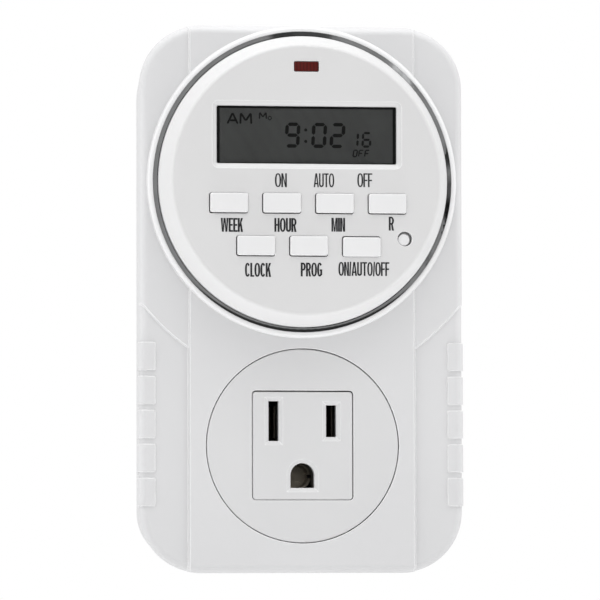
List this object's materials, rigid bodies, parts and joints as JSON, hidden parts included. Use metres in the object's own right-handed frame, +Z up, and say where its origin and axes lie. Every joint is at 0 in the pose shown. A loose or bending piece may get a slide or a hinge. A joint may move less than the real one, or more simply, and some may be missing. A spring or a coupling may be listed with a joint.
{
  "type": "digital plug-in timer",
  "caption": "White plug-in timer: round dial with a display and keys above a switched three-prong outlet, three prongs at the back for a wall outlet.",
  "frame": {"origin": "on the flat back, midway between the two flat prongs", "axes": "+X to the right as seen from the front, +Y from the back into the wall, +Z up"},
  "size_m": [0.0718, 0.061, 0.1196],
  "materials": {
    "white_casing": "moulded, satin",
    "white_dial": "moulded, satin",
    "white_outlet": "moulded, satin",
    "white_plug_block": "moulded, satin",
    "white_keys": "moulded, smooth",
    "bright_ring": "polished",
    "clear_window": "clear, polished",
    "display_glass": "dark grey display",
    "red_lens": "dark red, polished",
    "inner_plastic": "moulded, plain",
    "black_plastic": "moulded, plain",
    "contact_rubber": "conductive strip",
    "circuit_board": "green lacquer",
    "screw_steel": "zinc plated",
    "battery_can": "nickel plated",
    "contact_brass": "rolled strip",
    "prong_metal": "nickel plated",
    "relay_plastic": "moulded, smooth",
    "coil_copper": "wound wire",
    "armature_steel": "plain steel",
    "capacitor_plastic": "moulded, smooth",
    "board_part_lacquer": "lacquered",
    "lamp_plastic": "diffuse red",
    "wire_grey": "insulation",
    "wire_black": "insulation",
    "wire_red": "insulation",
    "wire_white": "insulation"
  },
  "bodies": {
    "case": {"front_shell": "white_casing", "rear_shell": "white_casing", "dial_bezel": "white_dial", "socket_disc": "white_outlet", "socket_face": "white_outlet", "plug_base": "white_plug_block", "trim_ring": "bright_ring", "display_window": "clear_window", "display_panel": "display_glass", "lamp_lens": "red_lens", "dial_cover": "inner_plastic", "display_frame": "inner_plastic", "key_switches": "black_plastic", "contact_carrier": "black_plastic", "timer_chip": "black_plastic", "zebra_strip": "contact_rubber", "control_board": "circuit_board", "power_board": "circuit_board", "case_screws": "screw_steel", "dial_screws": "screw_steel", "plug_screws": "screw_steel", "carrier_screws": "screw_steel", "board_screws": "screw_steel", "crystal": "screw_steel", "backup_battery": "battery_can", "battery_tabs": "battery_can", "neutral_contact": "contact_brass", "hot_contact": "contact_brass", "ground_contact": "contact_brass", "neutral_link": "contact_brass", "ground_link": "contact_brass", "neutral_blade": "prong_metal", "hot_blade": "prong_metal", "ground_pin": "prong_metal", "relay_case": "relay_plastic", "relay_coil": "coil_copper", "dropper_capacitor": "capacitor_plastic", "board_parts": "board_part_lacquer", "indicator_lamp": "lamp_plastic", "ribbon_cable": "wire_grey", "hot_feed_wire": "wire_black", "hot_switched_wire": "wire_red", "neutral_tap_wire": "wire_white"},
    "week_button": {"week_key": "white_keys", "week_plunger": "black_plastic"},
    "hour_button": {"hour_key": "white_keys", "hour_plunger": "black_plastic"},
    "minute_button": {"minute_key": "white_keys", "minute_plunger": "black_plastic"},
    "recall_button": {"recall_key": "white_keys", "recall_plunger": "black_plastic"},
    "clock_button": {"clock_key": "white_keys", "clock_plunger": "black_plastic"},
    "program_button": {"program_key": "white_keys", "program_plunger": "black_plastic"},
    "mode_button": {"mode_key": "white_keys", "mode_plunger": "black_plastic"},
    "reset_pusher": {"reset_button": "white_keys"},
    "armature": {"relay_armature": "armature_steel"}
  },
  "joints": [
    {"name": "week_press", "type": "slide", "parent": "case", "child": "week_button", "axis": [0, 1, 0], "range_m": [0, 0.0008], "stiffness_N_per_m": 1200},
    {"name": "hour_press", "type": "slide", "parent": "case", "child": "hour_button", "axis": [0, 1, 0], "range_m": [0, 0.0008], "stiffness_N_per_m": 1200},
    {"name": "minute_press", "type": "slide", "parent": "case", "child": "minute_button", "axis": [0, 1, 0], "range_m": [0, 0.0008], "stiffness_N_per_m": 1200},
    {"name": "recall_press", "type": "slide", "parent": "case", "child": "recall_button", "axis": [0, 1, 0], "range_m": [0, 0.0008], "stiffness_N_per_m": 1200},
    {"name": "clock_press", "type": "slide", "parent": "case", "child": "clock_button", "axis": [0, 1, 0], "range_m": [0, 0.0008], "stiffness_N_per_m": 1200},
    {"name": "program_press", "type": "slide", "parent": "case", "child": "program_button", "axis": [0, 1, 0], "range_m": [0, 0.0008], "stiffness_N_per_m": 1200},
    {"name": "mode_press", "type": "slide", "parent": "case", "child": "mode_button", "axis": [0, 1, 0], "range_m": [0, 0.0008], "stiffness_N_per_m": 1200},
    {"name": "reset_press", "type": "slide", "parent": "case", "child": "reset_pusher", "axis": [0, 1, 0], "range_m": [0, 0.0005], "stiffness_N_per_m": 1500},
    {"name": "armature_rock", "type": "hinge", "parent": "case", "child": "armature", "pos_m": [-0.0147, -0.01722, 0.035], "axis": [0, 0, 1], "range_deg": [0, 3], "stiffness_Nm_per_rad": 0.02}
  ]
}
